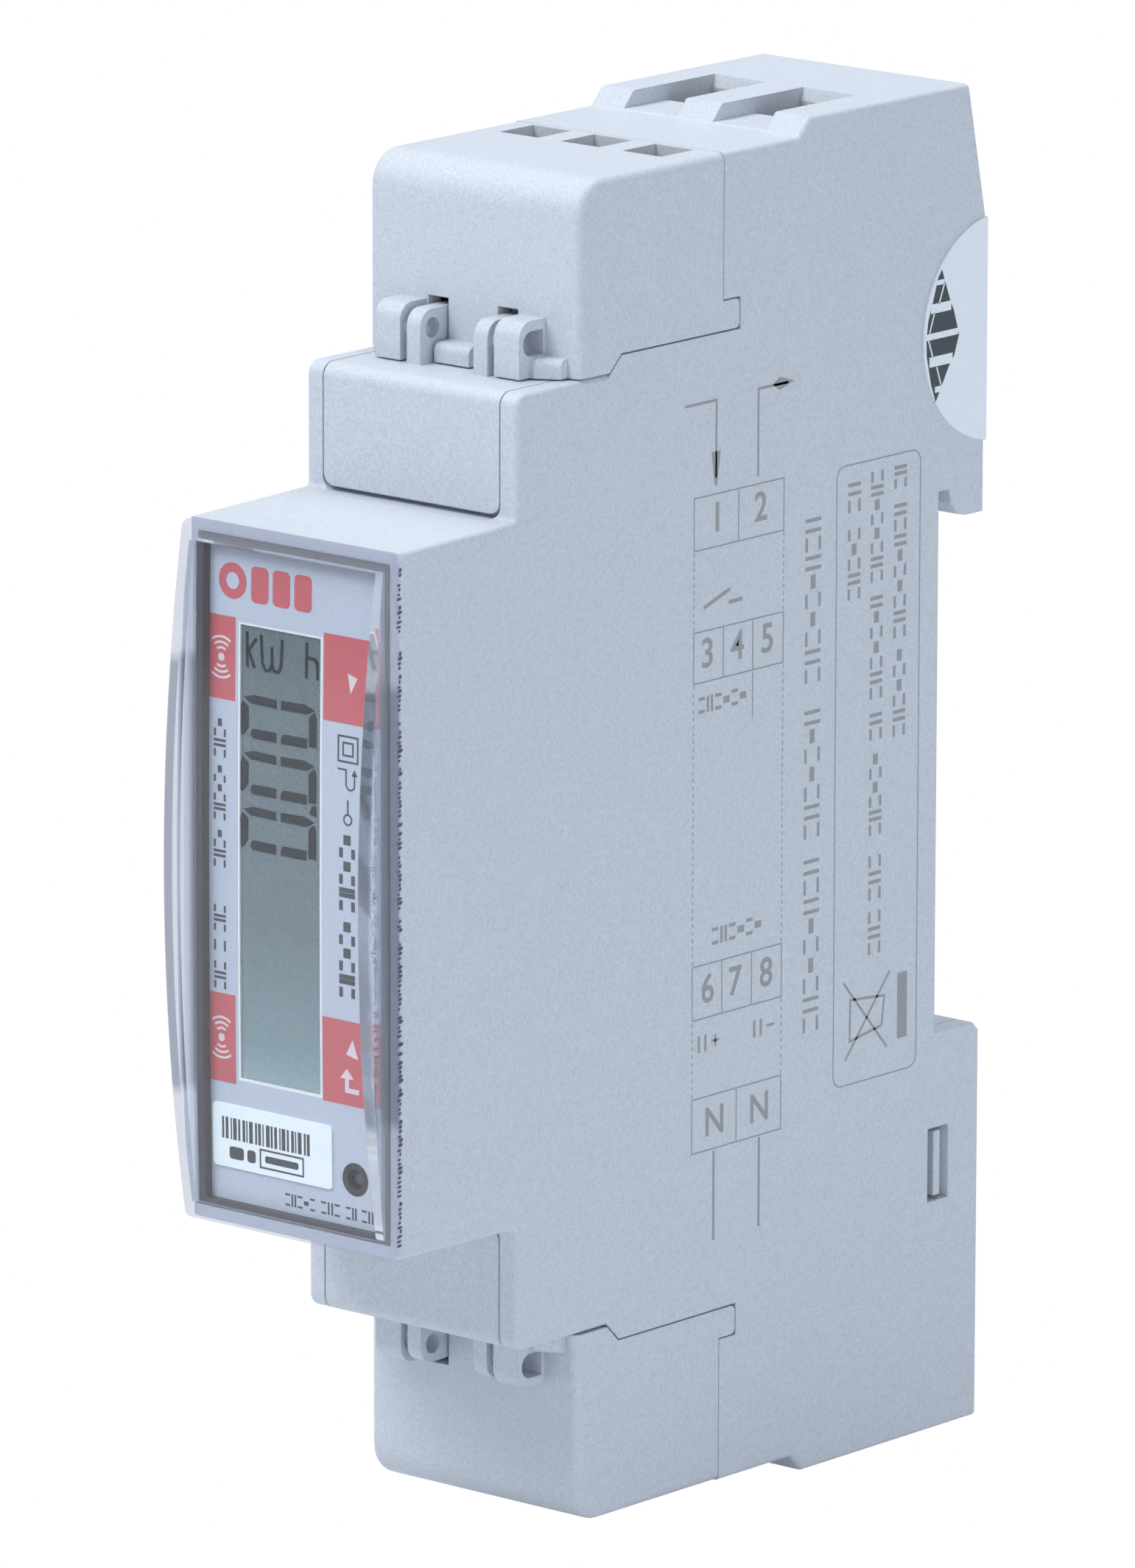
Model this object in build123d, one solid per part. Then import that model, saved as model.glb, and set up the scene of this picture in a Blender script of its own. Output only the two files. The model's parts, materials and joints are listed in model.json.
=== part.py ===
from build123d import *
import os

# One-module electricity meter for a 35 mm rail, in millimetres.
# +X right, -Y towards the reader, +Y towards the wall, +Z up.
# Origin: middle of the rail seat, on the face that rests against the rail.

# ---- driving dimensions ----
half_width = 8.75            # one rail module is 17.5 wide
wall = 1.3                   # side walls
top_z = 44.5                 # top and bottom faces of the rear block
step_z = 43.35               # lower level in front of the wire entries
step_front_y = -14.25        # foot of the step
step_rear_y = -13.2          # head of the step
cover_rear_y = -21.6         # joint between the rear block and a terminal cover
cover_front_y = -35.6        # front of a terminal cover
rear_ledge_z = 31.85         # housing edge under the rear part of a cover
shoulder_z = 30.75           # top of the shoulder
shoulder_front_y = -41.5
nose_root_z = 22.75
nose_z = 22.5                # 45 mm nose
nose_front_y = -52.5
rear_y = 4.5                 # face towards the wall
rear_top_y = 2.7             # the rear face leans in above the hook
lean_start_z = 35.7
hook_top_z = 18.2            # top of the groove for the rail's upper flange
hook_gap = 1.25              # groove depth, for a 1 mm rail
hook_lip_z = 16.25
ledge_z = -17.75             # lower edge of the rail notch
gap = 0.1                    # general joint gap

terminal_x = 3.7             # wire entries and main screws, left and right of the middle
main_screw_z = 35.9
main_shaft_r = 1.75
main_head_r = 2.05
tunnel_r = 2.15
run_clearance = 0.07         # radial running clearance of every screw
neck_front_y = -21.0
neck_rear_y = -19.6
chamber_z = (32.2, 42.2)
chamber_half_x = 3.2
wire_half = 2.2              # half the width of a wire entry
wire_y = (-10.0, -5.5)

signal_pitch = 5.1
signal_z = 40.25
signal_shaft_r = 0.8
signal_head_r = 1.35
signal_tunnel_r = 1.45
block_y = (-34.2, -20.4)
block_z = (38.55, 42.1)
tower_half_x = 7.35

faceplate_y = (-51.9, -51.1)
plate_half_x = 7.9
plate_half_z = 21.6
lcd_x = (-4.87, 2.17)
lcd_z = (-13.1, 16.2)
led_x = 4.85
led_z = -17.9

cover_wall = 1.2
cover_skin = 1.15
board_x = (-5.9, -4.9)
board_face_x = board_x[1]


# ---- small helpers ----
def block(x, y, z):
    """Box between two limits on each axis."""
    size = [high - low for low, high in (x, y, z)]
    middle = [(high + low) / 2 for low, high in (x, y, z)]
    return Pos(*middle) * Box(*size)


def plate_yz(points, x):
    """Outline in Y and Z, extruded between two X limits."""
    face = Plane.YZ * make_face(Polyline(*points, close=True))
    return Pos(x[0], 0, 0) * extrude(face, amount=x[1] - x[0], dir=(1, 0, 0))


def rod_y(x, z, radius, y):
    """Cylinder along Y."""
    middle = Pos(x, (y[0] + y[1]) / 2, z)
    return middle * Rot(90, 0, 0) * Cylinder(radius, y[1] - y[0])


def rod_x(y, z, radius, x):
    """Cylinder along X."""
    middle = Pos((x[0] + x[1]) / 2, y, z)
    return middle * Rot(0, 90, 0) * Cylinder(radius, x[1] - x[0])


def around(middle, half):
    return (middle - half, middle + half)


def flipped(shape):
    """The same piece at the other end of the meter."""
    return mirror(shape, about=Plane.XY)


def edges_along(shape, axis, keep):
    return shape.edges().filter_by(axis).filter_by(lambda edge: keep(edge.center()))


def near(value, target):
    return abs(value - target) < 0.02


def save(name, shape):
    export_step(shape, "parts/" + name + ".step")


# ---- outlines ----
def front_outline():
    """Upper half of the side view, from the top of the rear block to the nose."""
    return [
        (rear_top_y, top_z), (step_rear_y, top_z), (step_front_y, step_z), (cover_rear_y, step_z),
        (cover_rear_y, rear_ledge_z), (-31.5, rear_ledge_z), (-32.6, shoulder_z),
        (shoulder_front_y, shoulder_z), (shoulder_front_y, nose_root_z), (nose_front_y, nose_z),
    ]


def rail_notch():
    """Rear edge of the side view between the two rear blocks, from below to above."""
    return [
        (rear_y, ledge_z - 0.6), (rear_y - 0.6, ledge_z), (0, ledge_z), (0, hook_top_z),
        (hook_gap - 0.2, hook_top_z), (hook_gap, hook_lip_z + 1.0), (1.9, hook_lip_z + 0.2),
        (2.8, hook_lip_z), (rear_y, hook_lip_z),
    ]


def housing_outline():
    upper = front_outline()
    lower = [(y, -z) for y, z in reversed(upper)]
    lower[-1] = (rear_y, -top_z)
    return upper + lower + rail_notch() + [(rear_y, lean_start_z)]


def cover_outline():
    rear = cover_rear_y - 0.05
    return [
        (rear, step_z), (cover_front_y, step_z), (cover_front_y, shoulder_z + gap),
        (-32.65, shoulder_z + gap), (-31.55, rear_ledge_z + gap), (rear, rear_ledge_z + gap),
    ]


# ---- housing ----
cavity_half_x = half_width - wall
cover_space_y = -3.0         # the rear cover fills the housing behind this plane
cover_space_z = 43.2
tab_y = cover_rear_y + 1.55  # the cover's side tabs reach into the housing
tab_z = (rear_ledge_z + gap, 33.85)
tab_skin = 0.8
insert_half_x = 7.3
insert_skin = 0.9
insert_low_z = 22.98
window_y = (-0.57, 1.52)
window_z = (24.12, 29.05)
tongue_y = (-11.3, -10.4)
leg_y = (-26.7, -25.9)
leg_x = 6.3                  # outer signal contacts go down beside the screw tunnels


def housing_shell():
    shell = plate_yz(housing_outline(), (-half_width, half_width))
    for y, z, radius in ((shoulder_front_y, shoulder_z, 0.9), (shoulder_front_y, nose_root_z, 0.3)):
        lines = edges_along(shell, Axis.X, lambda c: near(c.Y, y) and near(abs(c.Z), z))
        shell = fillet(lines, radius)
    step_lines = edges_along(shell, Axis.X, lambda c: near(c.Y, step_rear_y) or near(c.Y, step_front_y))
    shell = fillet(step_lines, 0.35)
    sides = shell.faces().filter_by(Axis.X)
    rim = [edge for face in sides for edge in face.edges() if edge.center().Y < 2.5 and not in_notch(edge)]
    return fillet(rim, 0.35)


def in_notch(edge):
    """Edges at the rail notch and under the covers stay sharp."""
    c = edge.center()
    notch = c.Y > -0.1 and abs(c.Z) < 19
    below_cover = cover_front_y < c.Y < cover_rear_y and abs(c.Z) < 32
    return notch or below_cover or near(c.Y, cover_rear_y)


def terminal_cuts():
    """What is cut from the upper terminal block, besides the contact slots."""
    cuts = []
    for side in (-1, 1):
        x = side * terminal_x
        cuts.append(block(around(x, chamber_half_x), (neck_rear_y, cover_space_y + 0.1), chamber_z))
        cuts.append(rod_y(x, main_screw_z, tunnel_r, (block_y[0] - 1, neck_front_y)))
        cuts.append(rod_y(x, main_screw_z, main_shaft_r + run_clearance, (neck_front_y - 1, neck_rear_y + 1)))
        cuts.append(block(around(x, wire_half), wire_y, (chamber_z[1] - 1, step_z + 1)))
        trough = [(-16, step_z + 0.1), (wire_y[1] - 0.1, step_z + 0.1), (-5.15, top_z), (-4.9, 46), (-16, 46)]
        cuts.append(plate_yz(trough, around(x, wire_half)))
        slot_y = (tongue_y[0] - gap, tongue_y[1] + gap)
        cuts.append(block(around(x, 2.1), slot_y, (28, chamber_z[0] + 0.1)))
        cuts.append(block(around(side * leg_x, 0.3), (leg_y[0] - gap, leg_y[1] + gap), (28, 39)))
    cuts.append(block((-0.3, 0.3), (leg_y[0] - gap, leg_y[1] + gap), (28, 39)))
    pocket_y = (cover_rear_y - 1, block_y[1] + gap)
    cuts.append(block(around(0, tower_half_x + 0.05), pocket_y, (block_z[0] - 0.05, block_z[1] + 0.05)))
    return cuts


def insert_recess():
    """Room for the shoulder insert."""
    half = insert_half_x + 0.09
    top = block(around(0, half), (shoulder_front_y - 1, -34.2), (shoulder_z - insert_skin, shoulder_z + 1))
    front_y = (shoulder_front_y - 1, shoulder_front_y + insert_skin)
    front = block(around(0, half), front_y, (insert_low_z - 0.32, shoulder_z + 1))
    lower = edges_along(front, Axis.Y, lambda c: c.Z < insert_low_z)
    return top + fillet(lower, 0.9)


def main_housing():
    shell = housing_shell()
    tower = block(around(0, tower_half_x), (block_y[0], cover_rear_y + 0.5), (30, block_z[0] - 0.05))
    shell += tower + flipped(tower)
    shell -= block(around(0, cavity_half_x), (-39.7, rear_y + 1), around(0, 28.95))
    shell -= block(around(0, cavity_half_x), (faceplate_y[1], rear_y + 1), around(0, 21.0))
    plate_seat_y = (nose_front_y - 1, faceplate_y[1])
    shell -= block(around(0, plate_half_x + 0.05), plate_seat_y, around(0, plate_half_z + gap))
    shell -= block(around(0, cavity_half_x), (cover_space_y, rear_y + 1), around(0, cover_space_z))
    for cut in terminal_cuts() + [insert_recess()]:
        shell -= cut
        shell -= flipped(cut)
    for side in (-1, 1):
        skin = sorted((side * (half_width - tab_skin - 0.06), side * (half_width + 1)))
        tab = block(skin, (cover_rear_y - 1, tab_y + 0.09), (rear_ledge_z - 0.01, tab_z[1] + 0.09))
        catch = block(sorted((side * 7, side * 9)), window_y, window_z)
        shell -= tab + flipped(tab) + catch + flipped(catch)
    shell -= block(around(0, 3.9), (1.3, rear_y + 1), (-top_z - 1, -cover_space_z + 0.5))
    return shell


# ---- rear cover and rail clip ----
clip_half_x = 3.6
clip_y = (1.5, 3.8)
clip_rib_y = 4.45
spring_y = 2.6
spring_z = (-34.6, -25.2)
pocket_z = (-36.4, -25.2)


def rear_cover():
    half = cavity_half_x - 0.05
    top = cover_space_z - 0.05
    lean_y = rear_top_y + (top_z - top) * (rear_y - rear_top_y) / (top_z - lean_start_z)
    front = cover_space_y + 0.05
    lower = [(front, -top), (rear_y, -top)]
    upper = [(rear_y, lean_start_z), (lean_y, top), (front, top)]
    cover = plate_yz(lower + rail_notch() + upper, around(0, half))
    cover -= block(around(0, 6.3), (front - 1, 2.9), (19.5, 33.5))
    cover -= block(around(0, 6.3), (front - 1, 1.6), (34.6, 42))
    cover -= block(around(0, 6.3), (front - 1, -1.3), around(0, 17))
    cover -= block(around(0, 6.3), (front - 1, 0.4), (-42, -19))
    cover -= block(around(0, clip_half_x + gap), (clip_y[0] - gap, clip_y[1] + gap), (-top - 1, ledge_z + 1))
    cover -= block(around(0, 2.5), (clip_y[1] - gap, rear_y + 1), (-top - 1, ledge_z + 1))
    cover -= block(around(0, clip_half_x + 0.15), (1.1, rear_y + 1), (-21.6, ledge_z + 1))
    cover += block(around(0, 1.2), (clip_y[0] - 0.2, 3.3), (pocket_z[0] + 0.4, spring_z[0]))
    for side in (-1, 1):
        bump_z = (window_z[0] + 0.3, window_z[1] - 0.3)
        bump = block(sorted((side * (half - 0.5), side * 8.6)), (0.2, 1.45), bump_z)
        outer = edges_along(bump, Axis.Z, lambda c: abs(c.X) > 8 and c.Y > 1)
        bump = chamfer(outer, 0.6)
        cover += bump + flipped(bump)
    return cover


def din_clip():
    body = block(around(0, clip_half_x), clip_y, (-top_z, ledge_z - 0.2))
    rib = block(around(0, 2.4), (clip_y[1] - 0.3, clip_rib_y), (-top_z, -22.6))
    pawl_outline = [
        (hook_gap, -18.6), (hook_gap, -16.7), (1.9, -16.0), (2.7, -16.0), (4.2, -17.6), (4.2, -18.6),
    ]
    pawl = plate_yz(pawl_outline, around(0, clip_half_x))
    clip = body + rib + pawl
    clip -= block(around(0, 1.45), (clip_y[0] - 1, 3.65), pocket_z)
    clip -= block(around(0, 1.6), (2.6, rear_y + 1), (-42.3, -40.3))
    return clip


def coil_spring(radius, wire, height, turns):
    """Open coil along +Z from the origin, with its ends inside the height."""
    rise = height - 2 * wire
    path = Pos(0, 0, wire) * Helix(rise / turns, rise, radius)
    section = Plane(origin=path @ 0, z_dir=path % 0) * Circle(wire)
    return sweep(section, path=path)


def din_clip_spring():
    return Pos(0, spring_y, spring_z[0]) * coil_spring(0.78, 0.16, spring_z[1] - spring_z[0], 9)


# ---- terminal covers ----
lug_front_y = -38.1
lug_top_z = 34.45
seal_hole_y = -36.95
seal_hole_z = 33.0
seal_hole_r = 0.65
cover_hole_half = 0.8        # the hole through a cover's lug runs back to the cover's front
foot_front_y = -37.1
foot_rear_y = cover_front_y + 0.3
foot_z = (shoulder_z + gap, 32.1)
body_lug_x = (2.2, 3.35)
cover_lug_x = (3.9, 6.0)
lug_slot_x = (2.05, 3.72)


def lug(x, y, z):
    """Sealing lug with a rounded top front corner and a hole for the sealing wire."""
    shape = block(x, y, z)
    corner = edges_along(shape, Axis.X, lambda c: near(c.Y, y[0]) and near(c.Z, z[1]))
    shape = fillet(corner, 1.1)
    return shape - rod_x(seal_hole_y, seal_hole_z, seal_hole_r, (x[0] - 1, x[1] + 1))


def terminal_cover():
    cover = plate_yz(cover_outline(), (-half_width, half_width))
    brow = edges_along(cover, Axis.X, lambda c: near(c.Y, cover_front_y) and near(c.Z, step_z))
    cover = fillet(brow, 2.3)
    sides = cover.faces().filter_by(Axis.X)
    rim = [e for face in sides for e in face.edges() if e.center().Y < -34 or e.center().Z > 42]
    cover = fillet([e for e in rim if not near(e.center().Z, shoulder_z + gap)], 0.6)
    inside_y = cover_front_y + cover_wall
    inside_z = step_z - cover_skin
    hollow = [
        (cover_rear_y + 1, inside_z), (inside_y + 0.5, inside_z), (inside_y, inside_z - 0.5), (inside_y, 29),
        (cover_rear_y + 1, 29),
    ]
    cover -= plate_yz(hollow, around(0, half_width - cover_wall))
    for number in (-1, 0, 1):
        cover -= block(around(number * signal_pitch, 1.6), (-25.35, -22.1), (42, 44))
    for side in (-1, 1):
        slot = sorted(side * x for x in lug_slot_x)
        cover -= block(slot, (-40, -34), (30, lug_top_z + 0.25))
        cover += outer_foot(side)
        x = sorted(side * x for x in cover_lug_x)
        cover += lug(x, (lug_front_y, cover_front_y + 0.3), (shoulder_z + gap, lug_top_z))
        cover -= block(x, (seal_hole_y, cover_front_y - 0.25), around(seal_hole_z, cover_hole_half))
        cover -= rod_x(seal_hole_y, seal_hole_z, cover_hole_half, x)
        skin = sorted((side * (half_width - tab_skin), side * half_width))
        tab = block(skin, (cover_rear_y - 1, tab_y), tab_z)
        corners = edges_along(tab, Axis.X, lambda c: near(c.Y, tab_y))
        cover += fillet(corners, 0.4)
    return cover + softened(block((-1.95, 0.95), (foot_front_y, foot_rear_y), foot_z))


def outer_foot(side):
    """Foot of a sealing lug, with its outer front corner cut off."""
    corners = [
        (3.9, foot_front_y), (6.35, foot_front_y), (7.8, foot_front_y + 0.9),
        (7.8, foot_rear_y), (3.9, foot_rear_y),
    ]
    outline = Polyline(*[(side * x, y) for x, y in corners], close=True)
    foot = extrude(make_face(outline), amount=foot_z[1] - foot_z[0], dir=(0, 0, 1))
    return softened(Pos(0, 0, foot_z[0]) * foot)


def softened(foot):
    """Round the upper front edges of a foot."""
    upper = foot.edges().filter_by(lambda edge: near(edge.center().Z, foot_z[1]))
    return fillet([edge for edge in upper if edge.center().Y < foot_front_y + 0.7], 0.5)


def shoulder_insert():
    half = insert_half_x
    front = shoulder_front_y
    top = block(around(0, half), (front, -34.3), (shoulder_z - insert_skin + 0.03, shoulder_z))
    face = block(around(0, half), (front, front + insert_skin - 0.03), (insert_low_z, shoulder_z))
    lower = edges_along(face, Axis.Y, lambda c: c.Z < insert_low_z + 0.5)
    insert = top + fillet(lower, 0.8)
    brow = edges_along(insert, Axis.X, lambda c: near(c.Y, front) and near(c.Z, shoulder_z))
    insert = fillet(brow, 0.9)
    for side in (-1, 1):
        x = sorted(side * x for x in body_lug_x)
        insert += lug(x, (lug_front_y, -34.5), (shoulder_z - 0.5, lug_top_z - 0.25))
    return insert


# ---- main terminals ----
def cross_recess(x, z, y, size, depth):
    """Cross in a screw head whose face is at y."""
    slot_y = (y - 0.1, y + depth)
    thin = size * 0.24
    return block(around(x, size), slot_y, around(z, thin)) + block(around(x, thin), slot_y, around(z, size))


def main_screw(side):
    x = side * terminal_x
    head = rod_y(x, main_screw_z, main_head_r, (-23.4, neck_front_y - 0.05))
    front = edges_of_circle(head, -23.4)
    head = fillet(front, 0.35)
    shaft = rod_y(x, main_screw_z, main_shaft_r, (neck_front_y - 0.1, -12.0))
    tip = edges_of_circle(shaft, -12.0)
    screw = head + chamfer(tip, 0.4)
    return screw - cross_recess(x, main_screw_z, -23.4, 1.4, 1.3)


def edges_of_circle(shape, y):
    return shape.edges().filter_by(GeomType.CIRCLE).filter_by(lambda edge: near(edge.center().Y, y))


def main_clamp(side):
    """Rising clamp: its rear wall pulls the wire against the bar."""
    x = side * terminal_x
    clamp = block(around(x, 3.05), (-15.2, -4.8), around(main_screw_z, 3.3))
    upright = edges_along(clamp, Axis.Z, lambda c: True)
    clamp = fillet(upright, 0.5)
    clamp -= block(around(x, 2.25), (-13.6, -5.6), around(main_screw_z, 4))
    return clamp - rod_y(x, main_screw_z, main_shaft_r + run_clearance, (-16, -13))


def conductor(bridge_z, pin):
    """Two bars that stand in the clamps, joined by a bridge below the terminals."""
    bar = block((-5.7, 5.7), tongue_y, bridge_z)
    for side in (-1, 1):
        bar += block(around(side * terminal_x, 2.0), tongue_y, (bridge_z[0], 39.4))
        for ridge in range(3):
            z = 34.6 + ridge * 1.3
            bar += block(around(side * terminal_x, 1.9), (tongue_y[1] - 0.1, tongue_y[1] + 0.2), (z, z + 0.5))
    if pin:
        bar += block((board_face_x, board_face_x + 0.8), (-11.2, -10.5), (21.5, bridge_z[0] + 0.2))
    return bar


# ---- signal terminals ----
def signal_block():
    body = block(around(0, tower_half_x), block_y, block_z)
    brow = edges_along(body, Axis.X, lambda c: near(c.Y, block_y[0]) and near(c.Z, block_z[1]))
    body = chamfer(brow, 0.6)
    for number in (-1, 0, 1):
        x = number * signal_pitch
        body -= block(around(x, 1.5), (-30.4, -21.8), (39.0, 41.6))
        body -= block(around(x, 1.45), (-25.5, -22.1), (41, 43))
        body -= rod_y(x, signal_z, signal_tunnel_r, (-35, -31.2))
        body -= rod_y(x, signal_z, signal_shaft_r + run_clearance, (-32, -30))
        foot = sorted((x - number * 1.1, number * (leg_x + 0.3))) if number else [-1.0, 1.0]
        body -= block(foot, (leg_y[0] - gap, leg_y[1] + gap), (38, 39.1))
    return body


def signal_contacts():
    """Three strips: a tongue in each clamp, a foot, and a leg down to the small board."""
    strips = []
    for number in (-1, 0, 1):
        x = number * signal_pitch
        tongue = block(around(x, 0.9), (-26.5, -26.1), (38.6, 41.2))
        foot = sorted((x - number * 0.9, number * (leg_x + 0.2))) if number else [-0.9, 0.9]
        leg = block(around(number * leg_x, 0.2), leg_y, (26.6, 38.95))
        strips.append(tongue + block(foot, leg_y, (38.6, 38.95)) + leg)
    return Compound(children=strips)


def signal_screw(number):
    x = number * signal_pitch
    head = rod_y(x, signal_z, signal_head_r, (-32.6, -31.25))
    head = fillet(edges_of_circle(head, -32.6), 0.25)
    shaft = rod_y(x, signal_z, signal_shaft_r, (-31.3, -26.9))
    screw = head + shaft
    return screw - block(around(x, 2), (-32.7, -31.95), around(signal_z, 0.25))


def signal_clamp(number):
    x = number * signal_pitch
    clamp = block(around(x, 1.3), (-28.4, -22.25), (39.1, 41.4))
    clamp -= block(around(x, 1.0), (-27.6, -22.8), (38, 42))
    return clamp - rod_y(x, signal_z, signal_shaft_r + 0.06, (-29, -27))


def signal_board():
    return block(around(0, 7.2), (-31, -22.5), (25.6, 26.6))


# ---- nose ----
rim_z = nose_z
lens_end_y = -53.4           # front of the window at its ends
lens_mid_y = -55.3           # and at the middle
lens_skin = 1.2
lens_corner_r = 0.6
lens_seat_y = nose_front_y - 0.08


def bowed_plate(half_x, half_z, end_y, middle_y, back_y):
    """Plate with a flat back and a front bowed about X."""
    bow = ThreePointArc((end_y, half_z), (middle_y, 0), (end_y, -half_z))
    back = Polyline((end_y, -half_z), (back_y, -half_z), (back_y, half_z), (end_y, half_z))
    face = Plane.YZ * make_face([bow, back])
    return Pos(-half_x, 0, 0) * extrude(face, amount=2 * half_x, dir=(1, 0, 0))


def front_window():
    lens = bowed_plate(half_width, rim_z, lens_end_y, lens_mid_y, lens_seat_y)
    lens = fillet(edges_along(lens, Axis.Y, lambda c: True), lens_corner_r)
    front = [edge for edge in lens.edges() if edge.center().Y < lens_end_y + 0.05]
    lens = fillet(front, 0.5)
    hollow_end = lens_end_y + lens_skin - 0.7
    lens -= bowed_plate(7.75, 21.3, hollow_end, lens_mid_y + lens_skin, lens_seat_y + 1)
    return lens


def window_gasket():
    outer = block(around(0, plate_half_x), (lens_seat_y + 0.02, faceplate_y[0]), around(0, plate_half_z))
    return outer - block(around(0, 7.25), (-53, -51), around(0, 21.0))


def faceplate():
    plate = block(around(0, plate_half_x), faceplate_y, around(0, plate_half_z))
    plate -= block(lcd_x, (-53, -50), lcd_z)
    return plate - rod_y(led_x, led_z, 1.08, (-53, -50))


def serial_label():
    label = block((-7.0, 3.0), (faceplate_y[0] - 0.12, faceplate_y[0]), (-18.85, -14.75))
    return fillet(edges_along(label, Axis.Y, lambda c: True), 0.3)


glass_x = (-5.6, 2.9)
glass_z = (-14.2, 17.3)
polariser_gap = 0.2


def lcd_glass():
    """Glass cell behind the faceplate, with its polariser standing in the faceplate's opening."""
    polariser_x = (lcd_x[0] + polariser_gap, lcd_x[1] - polariser_gap)
    polariser_z = (lcd_z[0] + polariser_gap, lcd_z[1] - polariser_gap)
    cell = block(glass_x, (-51.05, -49.45), glass_z)
    return cell + block(polariser_x, (-51.75, -51.0), polariser_z)


def lcd_backlight():
    panel = block(glass_x, (-49.35, -48.3), glass_z)
    return panel + block((-2.8, 0.1), (-48.4, -47.6), (-13.6, -11.6))


def lcd_holder():
    outer_x = (glass_x[0] - 0.8, glass_x[1] + 0.7)
    outer_z = (glass_z[0] - 0.8, glass_z[1] + 0.8)
    inner_x = (glass_x[0] - gap, glass_x[1] + gap)
    inner_z = (glass_z[0] - gap, glass_z[1] + gap)
    return block(outer_x, (-51.0, -47.6), outer_z) - block(inner_x, (-52, -47), inner_z)


def display_board():
    return block(around(0, 7.2), (-47.6, -46.6), around(0, 20.6))


def touch_spring(z):
    coil = Rot(90, 0, 0) * coil_spring(1.3, 0.18, 3.4, 5)
    return Pos(5.5, -47.65, z) * coil


def pulse_led():
    stem = rod_y(led_x, led_z, 0.95, (-50.6, -47.6))
    dome = Pos(led_x, -50.6, led_z) * Sphere(0.95)
    return stem + dome + rod_y(led_x, led_z, 1.2, (-48.2, -47.6))


# ---- electronics behind the nose ----
def main_board():
    outline = [
        (-45.5, 20.4), (-39.2, 20.4), (-39.2, 24.5), (-3.4, 24.5),
        (-3.4, -24.5), (-39.2, -24.5), (-39.2, -20.4), (-45.5, -20.4),
    ]
    return plate_yz(outline, board_x)


def board_connector():
    return block((board_face_x, -2.4), (-46.6, -43.4), (-8, 8))


def board_chips():
    chips = []
    for y, z, size in ((-37.5, -3.5, 7.0), (-37.5, 8.5, 5.0), (-29.5, 18.5, 4.0)):
        body = block((board_face_x, board_face_x + 1.2), (y, y + size), (z, z + size))
        top = body.edges().filter_by(lambda edge: near(edge.center().X, board_face_x + 1.2))
        chips.append(chamfer(top, 0.25))
    return Compound(children=chips)


def clock_crystal():
    can = block((board_face_x, board_face_x + 2.4), (-30.5, -26.5), (6.0, 15.0))
    return fillet(edges_along(can, Axis.X, lambda c: True), 1.6)


def electrolytic_capacitor():
    can = rod_y(board_face_x + 5.05, 12.4, 5.0, (-22, -6))
    return fillet(can.edges().filter_by(GeomType.CIRCLE), 0.7)


def film_capacitor():
    body = block((board_face_x, 2.2), (-22, -9), (-5.5, 4.5))
    return fillet(edges_along(body, Axis.X, lambda c: True), 0.6)


def varistor():
    disc = rod_x(-10, -14, 4.6, (board_face_x, board_face_x + 3.8))
    return fillet(disc.edges().filter_by(GeomType.CIRCLE), 0.8)


core_y = (-38.0, -24.0)
core_z = (-22.5, -9.5)


def transformer_core():
    core = block((-3.2, 1.8), core_y, core_z)
    for low, high in ((-35.9, -33.4), (-28.6, -26.1)):
        core -= block((-4, 3), (low, high), (core_z[0] + 2, core_z[1] - 2))
    return core


def transformer_coil():
    coil = block((board_face_x, 4.6), (-35.7, -26.3), (core_z[0] + 2.2, core_z[1] - 2.2))
    coil = fillet(edges_along(coil, Axis.Z, lambda c: True), 1.2)
    post = block((-3.3, 1.9), (-33.5, -28.5), (core_z[0], core_z[1]))
    return coil - post


# ---- tamper seal ----
seal_radius = 7.4
seal_y = 5.6
seal_z = 28.3
seal_film = 0.15


def calibration_seal():
    """Round sticker on the right side, folded over the rear edge onto the cover."""
    side_disc = rod_x(seal_y, seal_z, seal_radius, (half_width + 0.01, half_width + seal_film))
    side_disc &= block((8, 10), (-5, rear_y + seal_film), (15, 40))
    overhang = seal_y - rear_y
    rear_x = half_width + overhang
    rear_disc = rod_y(rear_x, seal_z, seal_radius, (rear_y + 0.01, rear_y + seal_film))
    rear_disc &= block((0, half_width + seal_film), (4, 6), (15, 40))
    return side_disc + rear_disc


# ---- write every piece ----
os.makedirs("parts", exist_ok=True)

save("main_housing", main_housing())
save("rear_cover", rear_cover())
save("din_clip", din_clip())
save("din_clip_spring", din_clip_spring())

top_pieces = {
    "terminal_cover": terminal_cover(),
    "shoulder_insert": shoulder_insert(),
    "signal_block": signal_block(),
    "signal_contacts": signal_contacts(),
    "signal_board": signal_board(),
}
for name, shape in top_pieces.items():
    save(name + "_top", shape)
    save(name + "_bottom", flipped(shape))

for number, side in ((1, -1), (2, 1)):
    save("line_screw_%d" % number, main_screw(side))
    save("line_clamp_%d" % number, main_clamp(side))
    save("neutral_screw_%d" % number, flipped(main_screw(side)))
    save("neutral_clamp_%d" % number, flipped(main_clamp(side)))
save("line_shunt", conductor((25.0, 28.4), True))
save("neutral_bar", flipped(conductor((26.0, 28.4), False)))

for number in (-1, 0, 1):
    save("signal_screw_%d" % (4 + number), signal_screw(number))
    save("signal_clamp_%d" % (4 + number), signal_clamp(number))
    save("signal_screw_%d" % (7 + number), flipped(signal_screw(number)))
    save("signal_clamp_%d" % (7 + number), flipped(signal_clamp(number)))

save("front_window", front_window())
save("window_gasket", window_gasket())
save("faceplate", faceplate())
save("serial_label", serial_label())
save("lcd_glass", lcd_glass())
save("lcd_backlight", lcd_backlight())
save("lcd_holder", lcd_holder())
save("display_board", display_board())
save("touch_spring_upper", touch_spring(13.7))
save("touch_spring_lower", touch_spring(-10.5))
save("pulse_led", pulse_led())

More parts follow.
